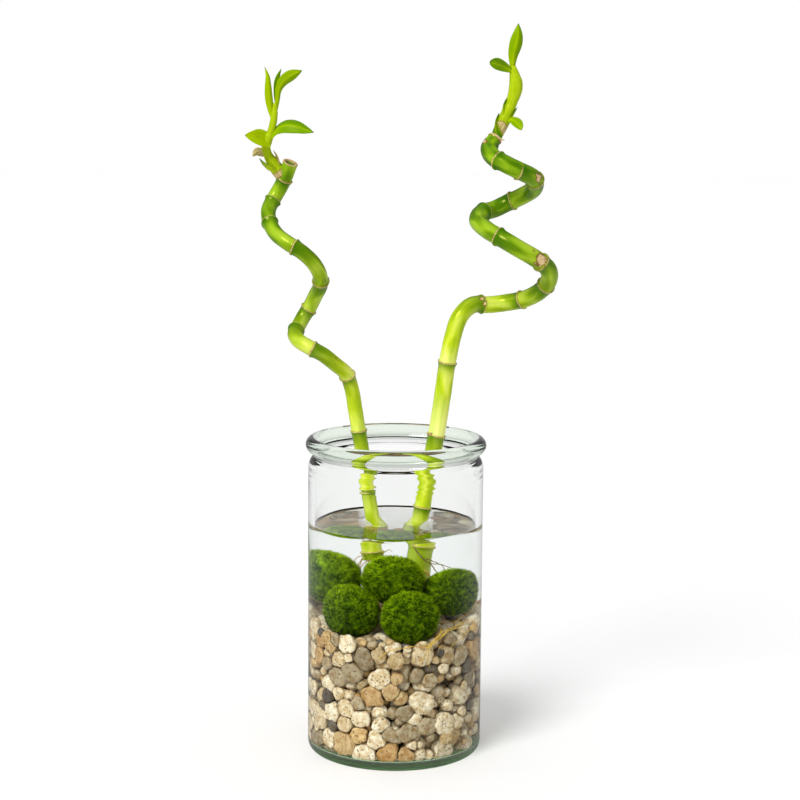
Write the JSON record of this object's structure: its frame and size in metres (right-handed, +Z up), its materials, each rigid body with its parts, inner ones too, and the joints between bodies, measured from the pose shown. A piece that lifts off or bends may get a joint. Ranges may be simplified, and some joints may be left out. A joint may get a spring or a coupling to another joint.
{
  "type": "lucky bamboo in glass jar",
  "caption": "Spiral lucky bamboo canes with young leafy shoots, standing with moss balls in a clear glass jar of water over a bed of river pebbles.",
  "frame": {"origin": "middle of the jar's flat underside, on the surface that the jar stands on", "axes": "+Z up along the jar's axis; +X to the right in the front view, towards the taller cane; the front view looks along +Y, and the row of canes and the moss balls read from there"},
  "size_m": [0.1873, 0.11, 0.4431],
  "materials": {
    "jar_glass": "clear pressed glass with a faint green tint in the thick rim and base",
    "clear_water": "clear still water",
    "river_pebbles": "wet, water-worn pebbles in cream, ochre, grey-beige and dark grey",
    "moss": "velvety deep green moss with bright yellow-green tips",
    "cane_skin": "smooth waxy green skin with tan node rings",
    "shoot_skin": "satin yellow-green sheaths with dry tan edges",
    "leaf_skin": "satin green blades with fine lengthwise veins"
  },
  "bodies": {
    "root": {"jar": "jar_glass", "water": "clear_water", "pebble_bed": "river_pebbles", "moss_ball_front_left": "moss", "moss_ball_front_middle": "moss", "moss_ball_top": "moss", "moss_ball_right": "moss", "moss_ball_rear_left": "moss", "cane_left": "cane_skin", "cane_right": "cane_skin", "shoot_left": "shoot_skin", "shoot_right": "shoot_skin", "leaf_left_low": "leaf_skin", "leaf_left_arching": "leaf_skin", "leaf_left_upright": "leaf_skin", "leaf_left_spear": "leaf_skin", "leaf_left_tip": "leaf_skin", "leaf_right_top": "leaf_skin", "leaf_right_side": "leaf_skin", "leaf_right_low": "leaf_skin"}
  },
  "joints": []
}
